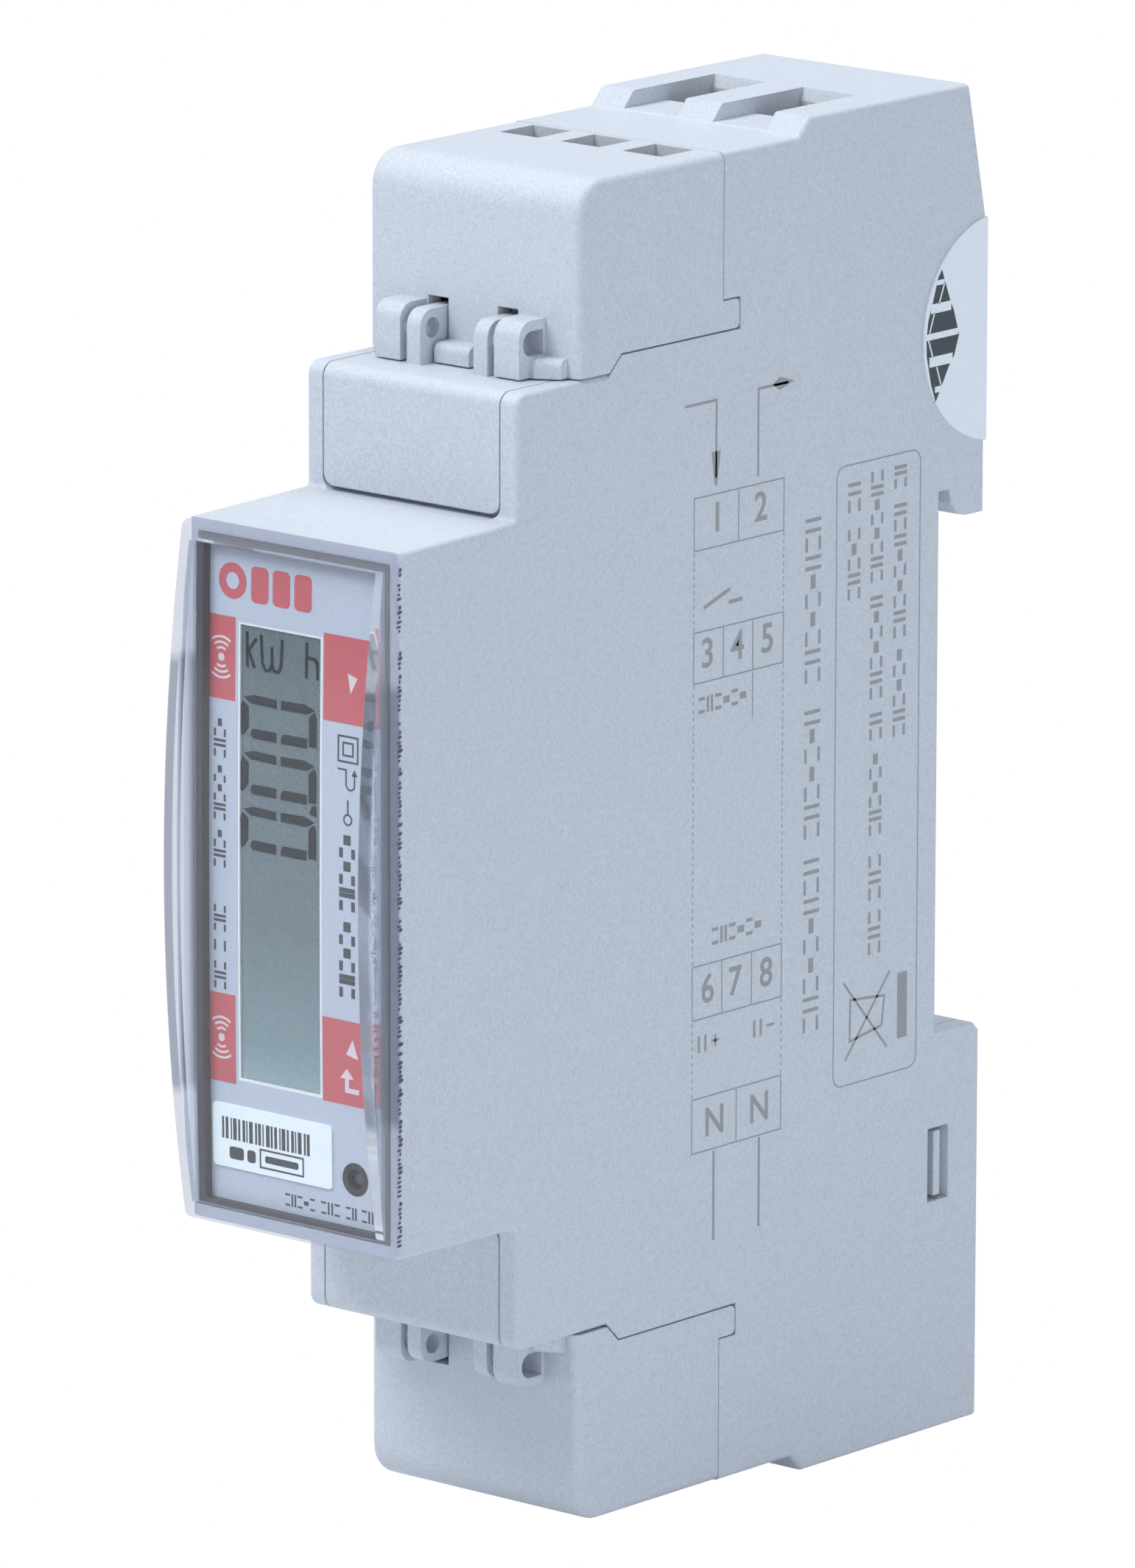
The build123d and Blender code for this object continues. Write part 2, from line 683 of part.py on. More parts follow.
save("main_board", main_board())
save("board_connector", board_connector())
save("board_chips", board_chips())
save("clock_crystal", clock_crystal())
save("electrolytic_capacitor", electrolytic_capacitor())
save("film_capacitor", film_capacitor())
save("varistor", varistor())
save("transformer_core", transformer_core())
save("transformer_coil", transformer_coil())
save("calibration_seal", calibration_seal())
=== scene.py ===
import json
import math
import bpy
import bmesh
from mathutils import Matrix, Vector


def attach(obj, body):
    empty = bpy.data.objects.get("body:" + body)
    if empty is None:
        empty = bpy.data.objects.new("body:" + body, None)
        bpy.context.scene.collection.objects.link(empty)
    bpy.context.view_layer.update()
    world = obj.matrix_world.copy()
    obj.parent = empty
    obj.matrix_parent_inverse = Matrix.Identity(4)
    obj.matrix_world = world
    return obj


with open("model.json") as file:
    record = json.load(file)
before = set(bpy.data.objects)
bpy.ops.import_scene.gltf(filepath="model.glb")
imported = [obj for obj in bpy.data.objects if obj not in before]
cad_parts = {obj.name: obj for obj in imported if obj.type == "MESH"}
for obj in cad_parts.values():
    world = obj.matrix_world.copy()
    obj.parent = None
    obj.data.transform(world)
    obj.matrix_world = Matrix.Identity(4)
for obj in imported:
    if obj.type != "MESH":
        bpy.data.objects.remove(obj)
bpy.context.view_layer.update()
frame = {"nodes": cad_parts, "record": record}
nodes = frame["nodes"]
mm = 0.001
print("frame loaded,", len(nodes), "nodes")


class Wire:  # one socket of a graph; a sum or a product of wires adds a Math node
    def __init__(self, graph, socket):
        self.graph = graph
        self.socket = socket

    def maths(self, operation, first, second):
        return self.graph.node("Math", {"operation": operation}, {0: first, 1: second})

    def __add__(self, other):
        return self.maths("ADD", self, other)

    def __radd__(self, other):
        return self.maths("ADD", other, self)

    def __sub__(self, other):
        return self.maths("SUBTRACT", self, other)

    def __rsub__(self, other):
        return self.maths("SUBTRACT", other, self)

    def __mul__(self, other):
        return self.maths("MULTIPLY", self, other)

    def __rmul__(self, other):
        return self.maths("MULTIPLY", other, self)


class Graph:  # the nodes of one material or of the sky
    def __init__(self, tree):
        self.tree = tree
        tree.nodes.clear()

    def node(self, kind, settings=None, sockets=None, output=0):
        made = self.tree.nodes.new("ShaderNode" + kind)
        for name, value in (settings or {}).items():
            if name == "stops":
                ramp = made.color_ramp
                while len(ramp.elements) > 1:
                    ramp.elements.remove(ramp.elements[0])
                ramp.elements[0].position, ramp.elements[0].color = value[0]
                for place, colour in value[1:]:
                    ramp.elements.new(place).color = colour
            else:
                setattr(made, name, value)
        for key, value in (sockets or {}).items():
            if isinstance(value, Wire):
                self.tree.links.new(value.socket, made.inputs[key])
            else:
                made.inputs[key].default_value = value
        return Wire(self, made.outputs[output]) if made.outputs else None

    def place(self):
        return self.node("TexCoord", output=3)  # the object's own coordinates, in metres

    def part(self, axis, of=None):  # one coordinate, of the place unless told otherwise
        return self.node("SeparateXYZ", None, {0: of or self.place()}, output="XYZ".index(axis))

    def unsigned(self, value):  # without its sign
        return self.node("Math", {"operation": "ABSOLUTE"}, {0: value})

    def grain(self, size, detail=2.0, stretch=(1, 1, 1)):
        where = self.node("Mapping", None, {"Vector": self.place(), "Scale": stretch})
        return self.node("TexNoise", None, {"Vector": where, "Scale": 1 / size, "Detail": detail})

    def ramp(self, factor, low, high, first=0.0, last=1.0):
        sockets = {"Value": factor, "From Min": low, "From Max": high, "To Min": first, "To Max": last}
        return self.node("MapRange", None, sockets)

    def tint(self, factor, first, second):  # a colour between two colours
        return self.node("Mix", {"data_type": "RGBA"}, {0: factor, 6: first, 7: second}, output=2)

    def speckle(self, colour, spread, factor):  # a colour that goes darker and lighter by its spread
        return self.tint(factor, shade(colour, 1 - spread), shade(colour, 1 + spread))

    def blend(self, factor, first, second):  # a shader between two shaders
        return self.node("MixShader", None, {0: factor, 1: first, 2: second})

    def clear(self, colour):
        return self.node("BsdfTransparent", None, {"Color": colour})

    def bump(self, height, depth, normal=None):
        sockets = {"Height": height, "Distance": depth, "Strength": 1.0}
        if normal:
            sockets["Normal"] = normal
        return self.node("Bump", None, sockets)

    def surface(self, sockets):
        return self.node("BsdfPrincipled", None, sockets)


def finish(name, build, look):  # a material made by one of the builders below from its look
    made = bpy.data.materials.new(name)
    made.use_nodes = True
    graph = Graph(made.node_tree)
    graph.node("OutputMaterial", None, {"Surface": build(graph, look)})
    return made


def shade(colour, factor):
    return tuple(min(1.0, part * factor) for part in colour[:3]) + (1.0,)


def mouldedPlastic(graph, look):
    fine = graph.grain(look["grain"], 3.0)
    broad = graph.grain(look["cloud"])
    colour = graph.speckle(look["colour"], look["spread"], fine)
    colour = graph.tint(broad * look["drift"], colour, shade(look["colour"], look["deep"]))
    edge = graph.node("Bevel", {"samples": 4}, {"Radius": look["edge"]})
    return graph.surface({
        "Base Color": colour,
        "Roughness": look["rough"] + (fine - 0.5) * look["roughSpread"],
        "Normal": graph.bump(fine, look["relief"], edge),
        "Specular IOR Level": look["shine"],
    })


def clearWindow(graph, look):
    haze = graph.grain(look["haze"])
    glass = graph.surface({
        "Base Color": look["colour"], "Transmission Weight": 1.0, "IOR": look["ior"],
        "Specular IOR Level": look["shine"],
        "Roughness": graph.ramp(haze, *look["hazeRange"], 0.0, look["rough"]),
    })
    sideways, upward = graph.unsigned(graph.part("X")), graph.unsigned(graph.part("Z"))
    wallX = graph.ramp(sideways, look["wallX"], look["wallX"] + look["wallBlur"])
    wallZ = graph.ramp(upward, look["wallZ"], look["wallZ"] + look["wallBlur"])
    wall = graph.node("Math", {"operation": "MAXIMUM"}, {0: wallX, 1: wallZ})
    turned = graph.unsigned(graph.part("Y", graph.node("NewGeometry", output=1)))
    front = graph.ramp(turned, *look["frontRange"])  # 1 on the faces at the front of the window
    # Painted reflection: a darker band on the front faces of the side walls, towards their middle, stands in
    # for dark surroundings refracted in the thick clear walls.
    band = front * graph.ramp(upward, look["bandZ"] + look["bandBlur"], look["bandZ"]) * wallX
    milky = graph.surface({
        "Base Color": graph.tint(band, look["side"], look["band"]), "Coat Weight": look["wallCoat"],
        "Roughness": look["wallRough"] + haze * look["wallRoughSpread"],
    })
    # painted reflection: inside the band the see-through goes darker
    through = graph.blend(band, graph.clear(look["clear"]), graph.clear(look["paintedRefractionTint"]))
    solid = graph.blend(wall, glass, graph.blend(look["thin"], milky, through))
    shadowRay = graph.node("LightPath", output=1)
    return graph.blend(shadowRay, solid, graph.clear(look["shadow"]))


def printedInk(graph, look):
    speck = graph.grain(look["speck"])
    return graph.surface({
        "Base Color": graph.speckle(look["colour"], look["spread"], speck),
        "Roughness": look["rough"] + (speck - 0.5) * look["roughSpread"],
        "Normal": graph.bump(speck, look["relief"]), "Specular IOR Level": look["shine"],
    })


def lampResin(graph, look):
    across = graph.part("X") - look["x"]
    upward = graph.part("Z") - look["z"]
    reach = graph.node("Math", {"operation": "SQRT"}, {0: across * across + upward * upward})
    colour = graph.tint(graph.ramp(reach, look["core"], look["edge"]), look["middle"], look["colour"])
    rough = look["rough"] + graph.grain(look["grain"]) * look["roughSpread"]
    return graph.surface({"Base Color": colour, "Roughness": rough})


def metal(graph, look):
    brushed = graph.grain(look["grain"], 3.0, look["stretch"])
    tarnish = graph.grain(look["cloud"], 3.0)
    smoothest, roughest = look["rough"] - look["smoother"], look["rough"] + look["rougher"]
    return graph.surface({
        "Base Color": graph.tint(tarnish, look["colour"], look["dull"]), "Metallic": 1.0,
        "Roughness": graph.ramp(brushed, 0.2, 0.8, smoothest, roughest),
        "Normal": graph.bump(brushed, look["relief"]),
    })


def displayGlass(graph, look):
    # painted light and shade: the glass is coloured lighter towards the bottom and darker towards the top
    height = graph.ramp(graph.part("Z"), look["low"], look["high"])
    colour = graph.node("ValToRGB", {"stops": look["stops"]}, {0: height})
    speck = graph.grain(look["grain"])
    return graph.surface({
        "Base Color": graph.tint((speck - 0.3) * look["speckle"], colour, look["dark"]),
        "Roughness": look["rough"] + speck * look["roughSpread"],
        "Coat Weight": look["coat"], "Coat Roughness": look["coatRough"],
    })


def circuitBoard(graph, look):
    sockets = {"Vector": graph.place(), "Scale": look["lines"], "Distortion": look["wander"], "Detail": 1.0}
    lines = graph.node("TexWave", {"wave_type": "BANDS", "bands_direction": "Z"}, sockets)
    tracks = graph.ramp(lines, *look["trackRange"])
    colour = graph.tint(tracks, look["colour"], shade(look["colour"], look["trackShade"]))
    return graph.surface({"Base Color": colour, "Roughness": look["rough"],
                          "Normal": graph.bump(tracks, look["relief"])})


plasticLook = {"colour": (0.60, 0.635, 0.69), "spread": 0.26, "drift": 0.25, "deep": 0.9, "grain": 0.00018,
               "cloud": 0.018, "rough": 0.5, "roughSpread": 0.12, "relief": 0.000012, "edge": 0.00012,
               "shine": 0.45}
insertLook = {**plasticLook, "colour": (0.615, 0.65, 0.70)}
clipLook = {**plasticLook, "colour": (0.5, 0.53, 0.57), "rough": 0.42}
inkLook = {"spread": 0.1, "speck": 0.0001, "rough": 0.5, "roughSpread": 0.1, "relief": 0.000002, "shine": 0.4}
metalLook = {"rough": 0.3, "smoother": 0.08, "rougher": 0.12, "grain": 0.0002, "cloud": 0.003,
             "stretch": (1, 8, 1), "relief": 0.000004}
windowLook = {"colour": (0.985, 0.985, 1.0, 1), "shadow": (0.92, 0.93, 0.95, 1), "ior": 1.45, "rough": 0.03,
              "shine": 0.2, "haze": 0.004, "hazeRange": (0.35, 0.75), "frontRange": (0.55, 0.9),
              "wallX": 0.0077, "wallZ": 0.02125, "wallBlur": 0.0001, "wallRough": 0.2, "wallRoughSpread": 0.05,
              "wallCoat": 0.2, "thin": 0.85, "bandZ": 0.0135, "bandBlur": 0.0008,
              # painted reflection: the first two colours below darken a strip on the side walls
              "band": (0.25, 0.28, 0.34, 1), "paintedRefractionTint": (0.5, 0.53, 0.6, 1), "clear": (0.86, 0.87, 0.91, 1),
              "side": (0.8, 0.82, 0.88, 1)}
lcdLook = {"low": -0.0131, "high": 0.0162, "dark": (0.12, 0.15, 0.16, 1), "grain": 0.0002, "speckle": 0.25,
           "rough": 0.25, "roughSpread": 0.05, "coat": 0.3, "coatRough": 0.12,
           # painted light and shade: the stops run from light at the bottom of the display to dark at the top
           "stops": [(0.0, (0.27, 0.39, 0.41, 1)), (0.08, (0.19, 0.29, 0.31, 1)),
                     (0.35, (0.125, 0.175, 0.2, 1)), (1.0, (0.08, 0.12, 0.132, 1))]}
lampLook = {"x": 0.00485, "z": -0.0179, "core": 0.0003, "edge": 0.00062, "middle": (0.1, 0.1, 0.11, 1),
            "colour": (0.02, 0.02, 0.022, 1), "grain": 0.0003, "rough": 0.4, "roughSpread": 0.1}
boardLook = {"colour": (0.02, 0.11, 0.05, 1), "lines": 900.0, "wander": 6.0, "trackRange": (0.55, 0.6),
             "trackShade": 1.7, "rough": 0.38, "relief": 0.00002}


def ink(name, colour, **changes):
    return finish(name, printedInk, {**inkLook, "colour": colour, **changes})


def metalOf(name, colour, dull, **changes):
    return finish(name, metal, {**metalLook, "colour": colour + (1,), "dull": dull + (1,), **changes})


finishes = {
    "housing_grey": finish("housingPlastic", mouldedPlastic, plasticLook),
    "clip_grey": finish("clipPlastic", mouldedPlastic, clipLook),
    "block_grey": finish("terminalBlockPlastic", mouldedPlastic, insertLook),
    "spring_steel": metalOf("springSteel", (0.55, 0.55, 0.57), (0.4, 0.4, 0.42)),
    "tinned_brass": metalOf("tinnedBrass", (0.72, 0.71, 0.68), (0.55, 0.53, 0.48)),
    "board_green": finish("boardLacquer", circuitBoard, boardLook),
    "bar_copper": metalOf("barCopper", (0.85, 0.45, 0.3), (0.55, 0.27, 0.17)),
    "clear_window": finish("clearPolycarbonate", clearWindow, windowLook),
    "gasket_dark": ink("gasketFoam", (0.062, 0.058, 0.066), rough=0.75, relief=0.00002, spread=0.25),
    "faceplate_film": ink("faceplateFilm", (0.5, 0.56, 0.66), rough=0.42, spread=0.1, speck=0.00022),
    "label_white": ink("labelPaper", (0.86, 0.95, 1.0), rough=0.55, spread=0.03),
    "lcd_glass": finish("displayGlass", displayGlass, lcdLook),
    "diffuser_white": ink("diffuserAcrylic", (0.75, 0.78, 0.8), rough=0.4),
    "holder_black": ink("holderPlastic", (0.03, 0.03, 0.032), rough=0.5),
    "led_red": finish("ledResin", lampResin, lampLook),
    "chip_black": ink("chipResin", (0.025, 0.025, 0.028), rough=0.55),
    "can_silver": metalOf("canAluminium", (0.7, 0.7, 0.72), (0.5, 0.5, 0.52)),
    "film_case": ink("capacitorCase", (0.45, 0.35, 0.09), rough=0.45),
    "varistor_blue": ink("varistorEpoxy", (0.03, 0.1, 0.32), rough=0.3, relief=0.00002),
    "ferrite": ink("coreFerrite", (0.04, 0.04, 0.045), rough=0.6, relief=0.00001),
    "winding_tape": ink("windingTape", (0.5, 0.36, 0.05), rough=0.4),
    "screw_steel": metalOf("screwSteel", (0.62, 0.61, 0.58), (0.4, 0.38, 0.34)),
    "clamp_brass": metalOf("clampBrass", (0.7, 0.62, 0.42), (0.5, 0.42, 0.27)),
    "seal_film": ink("sealFilm", (0.82, 0.87, 0.92), rough=0.5, spread=0.04, speck=0.0003),
}
inks = {
    "red": ink("redInk", (0.56, 0.11, 0.125), rough=0.45),
    "dark": ink("darkInk", (0.06, 0.065, 0.075), rough=0.5, shine=0.15),
    "white": ink("whiteInk", (0.74, 0.64, 0.68), rough=0.45),
    "marking": ink("laserMarking", (0.33, 0.34, 0.35), rough=0.6, spread=0.18, speck=0.00012),
    "segment": ink("displaySegment", (0.01, 0.018, 0.024), rough=0.5, shine=0.05),
    "rim": ink("displayRim", (0.8, 0.83, 0.85), rough=0.4),
    "sealDark": ink("sealReveal", (0.055, 0.065, 0.075), rough=0.35, spread=0.3),
    # painted shadow: the dark colour for the gap between the window and the housing
    "seam": ink("seamShadowPaint", (0.09, 0.09, 0.11), rough=0.5, spread=0.8, speck=0.0006, relief=0.00003),
}
for entry in frame["record"]["subparts"]:
    skin = nodes[entry["node"]].data.materials
    skin.clear()
    skin.append(finishes[entry["material_slot"]])
print("finishes assigned")


class Sheet:  # flat shapes in millimetres, laid on a plane with a small thickness
    def __init__(self, right, up, lift, thick):
        self.right, self.up = Vector(right), Vector(up)
        self.normal = self.right.cross(self.up)
        self.lift, self.thick = lift, thick
        self.mesh = bmesh.new()

    def at(self, u, v, level):  # level 0 is the underside, 1 is the top
        return (self.right * u + self.up * v + self.normal * (self.lift + level * self.thick)) * mm

    def prism(self, points):
        low = [self.mesh.verts.new(self.at(u, v, 0)) for u, v in points]
        high = [self.mesh.verts.new(self.at(u, v, 1)) for u, v in points]
        self.mesh.faces.new(high)
        self.mesh.faces.new(low[::-1])
        for i in range(len(points)):
            j = (i + 1) % len(points)
            self.mesh.faces.new((low[i], low[j], high[j], high[i]))

    def ribbon(self, left, right, closed):  # between two edges with the same number of points
        rings = []
        for (lu, lv), (ru, rv) in zip(left, right):
            corners = ((lu, lv, 0), (ru, rv, 0), (ru, rv, 1), (lu, lv, 1))
            rings.append([self.mesh.verts.new(self.at(*corner)) for corner in corners])
        pairs = list(zip(rings, rings[1:] + rings[:1])) if closed else list(zip(rings, rings[1:]))
        for a, b in pairs:
            for i in range(4):
                j = (i + 1) % 4
                self.mesh.faces.new((a[i], b[i], b[j], a[j]))
        if not closed:
            self.mesh.faces.new(rings[0])
            self.mesh.faces.new(rings[-1][::-1])

    def line(self, points, width, closed=False):
        count = len(points)
        left, right = [], []
        for i, here in enumerate(points):
            here = Vector(here)
            before = Vector(points[i - 1]) if i or closed else None
            after = Vector(points[(i + 1) % count]) if i < count - 1 or closed else None
            ways = [(b - a).normalized() for a, b in ((before, here), (here, after)) if a and b]
            along = sum(ways, Vector((0, 0))).normalized()
            across = Vector((-along.y, along.x)) * width / 2
            across /= max(0.4, abs(along.dot(ways[0])))  # keeps the width at a corner
            left.append(tuple(here + across))
            right.append(tuple(here - across))
        self.ribbon(left, right, closed)

    def bar(self, u, v, soft=0.0):
        self.prism(box(u, v, soft))

    def frame(self, u, v, width, soft=0.0):
        self.line(box(u, v, soft), width, True)

    def blocks(self, u, v, pitch, stroke, upright=False):  # a row of plain blocks of three kinds
        along, across = (v, u) if upright else (u, v)
        low, high = across
        middle, count = (low + high) / 2, max(1, round((along[1] - along[0]) / pitch))
        step = (along[1] - along[0]) / count
        for number in range(count):
            first = along[0] + step * (number + 0.1)
            last = first + step * 0.75
            kind = number * 5 % 7 % 3
            if kind == 0:
                parts = [((first, last), (low, low + stroke)), ((first, last), (high - stroke, high))]
            elif kind == 1:
                parts = [((first, last), (middle - stroke, middle + stroke))]
            else:
                parts = [((first, first + stroke), across), ((last - stroke, last), across)]
            for a, b in parts:
                self.bar(*((b, a) if upright else (a, b)))

    def disc(self, centre, radius):
        self.prism(circle(centre, radius, 24))

    def ring(self, centre, radius, width, steps=28):
        self.line(circle(centre, radius, steps), width, True)

    def numeral(self, text, u, v, height, bold):
        curve = bpy.data.curves.new("numeral", "FONT")
        curve.body, curve.size = text, height / 0.73  # a figure is 0.73 of its type's size
        curve.align_x, curve.align_y = "CENTER", "CENTER"
        curve.offset = bold
        holder = bpy.data.objects.new("numeral", curve)
        bpy.context.scene.collection.objects.link(holder)
        flat = bpy.data.meshes.new_from_object(holder.evaluated_get(bpy.context.evaluated_depsgraph_get()))
        bpy.data.objects.remove(holder)
        for polygon in flat.polygons:
            points = [flat.vertices[i].co for i in polygon.vertices]
            self.prism([(u + p.x, v + p.y) for p in points])
        bpy.data.meshes.remove(flat)

    def piece(self, name, skin, slot, body="housing"):
        data = bpy.data.meshes.new(name)
        bmesh.ops.recalc_face_normals(self.mesh, faces=self.mesh.faces)
        self.mesh.to_mesh(data)
        self.mesh.free()
        made = bpy.data.objects.new(name, data)
        bpy.context.scene.collection.objects.link(made)
        data.materials.append(skin)
        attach(made, body)


def circle(centre, radius, steps, start=0.0, turn=2 * math.pi):  # or an arc, with both its ends
    count = steps if turn == 2 * math.pi else steps - 1
    return [(centre[0] + radius * math.cos(start + turn * i / count),
             centre[1] + radius * math.sin(start + turn * i / count)) for i in range(steps)]


def box(u, v, soft=0.0):  # the outline of a box, its corners rounded by soft
    if not soft:
        return [(u[0], v[0]), (u[1], v[0]), (u[1], v[1]), (u[0], v[1])]
    points = []
    for cu, cv, start in ((u[1] - soft, v[1] - soft, 0.0), (u[0] + soft, v[1] - soft, 0.5),
                          (u[0] + soft, v[0] + soft, 1.0), (u[1] - soft, v[0] + soft, 1.5)):
        points += circle((cu, cv), soft, 7, start * math.pi, math.pi / 2)
    return points


frontPlane = ((1, 0, 0), (0, 0, 1))  # read from the front: normal -Y
sidePlane = ((0, 1, 0), (0, 0, 1))   # read from the right side: normal +X
inkThick = 0.012
clearance = 0.003                    # between an ink and the face under it

faceplatePrint = {
    "front": 51.9,
    "touchZones": (((-7.5, -5.08), (11.07, 16.4)), ((-7.5, -5.08), (-13.4, -7.7)),
                   ((2.29, 7.25), (11.0, 16.5)), ((2.23, 7.25), (-13.2, -7.8))),
    "mark": ((-6.5, 1.35), (17.5, 19.9)), "markRing": (0.85, 0.62), "markRingX": 1.15,
    "markBarX": 2.7, "markPitch": 1.8, "markBar": 1.45, "markSoft": 0.35,
    "arrows": (((4.55, 12.95), (5.1, 13.95), (4.3, 14.2)), ((4.2, -9.95), (5.2, -10.15), (4.75, -8.95)),
               ((3.7, -11.5), (4.82, -11.5), (4.26, -10.85))),
    "returnBars": (((4.1, 5.25), (-12.4, -12.08)), ((4.1, 4.42), (-12.08, -11.5))),
    "waveX": -6.25, "waveRadii": (0.6, 0.95, 1.3), "waveWidth": 0.15, "waveDot": 0.26,
    "rows": (((-6.85, -5.85), 0.62, 0.17, ((0.3, 2.8), (3.3, 6.9), (7.3, 9.9), (-7.5, -5.6), (-5.1, -4.2),
                                           (-3.8, -2.0))),
             ((3.65, 4.95), 0.85, 0.3, ((-6.4, -1.4), (-0.9, 4.1))),
             ((5.5, 6.05), 0.42, 0.09, ((-4.1, -1.4), (-0.8, 0.9), (1.4, 3.1)))),
    "lowRow": ((-20.55, -19.75), 0.5, 0.13, ((-1.1, 1.5), (1.9, 3.6), (4.0, 5.0), (5.3, 6.4))),
    "squares": (((3.55, 5.15), (8.6, 10.2)), ((3.95, 4.75), (9.0, 9.8))), "squareWidth": 0.13,
    "signWidth": 0.12, "lampSign": (4.35, 4.95), "lampRadius": 0.32,
    "hookSign": (4.55, 7.2), "hookRadius": 0.35,
    "stems": (((4.35, 5.27), (4.35, 6.2)), ((3.5, 8.1), (4.2, 8.1), (4.2, 7.2)), ((4.9, 7.2), (4.9, 7.9))),
    "hookHead": ((4.65, 7.75), (5.15, 7.75), (4.9, 8.2)),
    "lcdX": (-4.87, 2.17), "lcdZ": (-13.1, 16.2), "rim": 0.17, "rimDepth": 0.7, "rimThick": 0.68,
    "led": (4.85, -17.9), "shroudRadius": 0.86, "shroudWidth": 0.38, "shroudDepth": 0.85, "shroudThick": 0.86,
}


def redPrint(values):
    red = Sheet(*frontPlane, values["front"] + clearance, inkThick)
    for u, v in values["touchZones"]:
        red.bar(u, v)
    u, v = values["mark"]
    radius, width = values["markRing"]
    red.ring((u[0] + values["markRingX"], (v[0] + v[1]) / 2), radius, width)
    for number in range(3):
        left = u[0] + values["markBarX"] + number * values["markPitch"]
        red.bar((left, left + values["markBar"]), (v[0] + 0.05, v[1] - 0.05), values["markSoft"])
    red.piece("faceplate_red_print", inks["red"], "faceplate_film")


def whitePrint(values):  # over the red
    white = Sheet(*frontPlane, values["front"] + clearance + inkThick, inkThick)
    for arrow in values["arrows"]:
        white.prism(arrow)
    for u, v in values["returnBars"]:
        white.bar(u, v)
    for u, v in values["touchZones"][:2]:
        centre = (values["waveX"], (v[0] + v[1]) / 2)
        white.disc(centre, values["waveDot"])
        for radius in values["waveRadii"]:
            for start in (0.3, 1.3):
                arc = circle(centre, radius, 15, start * math.pi, 0.4 * math.pi)
                white.line(arc, values["waveWidth"])
    white.piece("faceplate_white_print", inks["white"], "faceplate_film")


def darkPrint(values):
    dark = Sheet(*frontPlane, values["front"] + clearance, inkThick)
    for u, pitch, stroke, words in values["rows"]:
        for v in words:
            dark.blocks(u, v, pitch, stroke, True)
    for u, v in values["squares"]:
        dark.frame(u, v, values["squareWidth"])
    width = values["signWidth"]
    dark.line(circle(values["lampSign"], values["lampRadius"], 20), width, True)
    dark.line(circle(values["hookSign"], values["hookRadius"], 13, math.pi, math.pi), width)
    for points in values["stems"]:
        dark.line(points, width)
    dark.prism(values["hookHead"])
    v, pitch, stroke, words = values["lowRow"]
    for u in words:
        dark.blocks(u, v, pitch, stroke)
    dark.piece("faceplate_dark_print", inks["dark"], "faceplate_film")


def displayRim(values):
    rim = Sheet(*frontPlane, values["front"] - values["rimDepth"], values["rimThick"])
    half = values["rim"] / 2
    edge = [(a + half, b - half) for a, b in (values["lcdX"], values["lcdZ"])]
    rim.frame(*edge, values["rim"])
    rim.piece("display_rim", inks["rim"], "diffuser_white")


def ledShroud(values):
    shroud = Sheet(*frontPlane, values["front"] - values["shroudDepth"], values["shroudThick"])
    shroud.ring(values["led"], values["shroudRadius"], values["shroudWidth"], 36)
    shroud.piece("led_shroud", finishes["holder_black"], "holder_black")


for build in (redPrint, whitePrint, darkPrint, displayRim, ledShroud):
    build(faceplatePrint)
print("faceplate printed")

displayLook = {"front": 51.75, "raised": 0.01, "thick": 0.03, "digitWidth": 2.77, "digitHeight": 6.3,
               "stroke": 0.62, "baseX": 1.6, "digitLow": (1.8, 5.35, 8.9), "pointZ": 5.1,
               "unitRise": 0.4, "unitStroke": 0.2,
               "unit": (((-4.25, 15.2), (-4.2, 12.95)), ((-3.45, 14.85), (-4.1, 14.05), (-3.6, 12.95)),
                        ((-3.05, 15.15), (-2.95, 13.4), (-2.7, 12.95), (-2.35, 12.98), (-2.15, 13.4),
                         (-2.15, 14.5)),
                        ((-2.15, 13.4), (-1.95, 12.98), (-1.6, 12.98), (-1.38, 13.4), (-1.3, 15.1)),
                        ((0.75, 15.2), (0.72, 12.95)),
                        ((0.78, 14.25), (1.45, 14.22), (1.62, 14.0), (1.66, 12.95)))}


def zeroSegments(w, h, t):  # the six lit segments of a zero: w wide, h high, t the stroke
    return (
        [(0.1, h), (1.95, h), (2.3, h - 0.15), (1.95, h - t), (0.62, h - t), (0.1, h - 0.2)],
        [(w - t, 3.35), (w - 0.08, 3.35), (w - 0.02, 5.3), (w - 0.25, h - 0.25), (w - t + 0.05, h - 0.8)],
        [(w - t, 2.95), (w - t, 0.8), (w - 0.28, 0.15), (w, 1.0), (w - 0.05, 2.95)],
        [(0.15, 0), (2.0, 0), (2.35, 0.18), (2.0, t), (0.15, t)],
        [(0, 0.8), (t, 0.8), (t, 2.7), (t - 0.25, 2.95), (0, 2.95)],
        [(0, 3.35), (t, 3.35), (t, h - 1.0), (t - 0.35, h - 0.78), (0, h - 1.0)],
    )


def displayDigits(look):  # the figures read upwards
    glass = Sheet(*frontPlane, look["front"] + look["raised"], look["thick"])
    point, base = look["pointZ"], look["baseX"]
    for low in look["digitLow"]:
        for outline in zeroSegments(look["digitWidth"], look["digitHeight"], look["stroke"]):
            glass.prism([(base - v, low + u) for u, v in outline])
    glass.prism([(base - 0.55, point - 0.3), (base, point - 0.42),
                 (base, point + 0.25), (base - 0.35, point + 0.25)])
    for points in look["unit"]:
        glass.line([(u, v + look["unitRise"]) for u, v in points], look["unitStroke"])
    glass.piece("display_segments", inks["segment"], "lcd_glass")


displayDigits(displayLook)
print("display drawn")

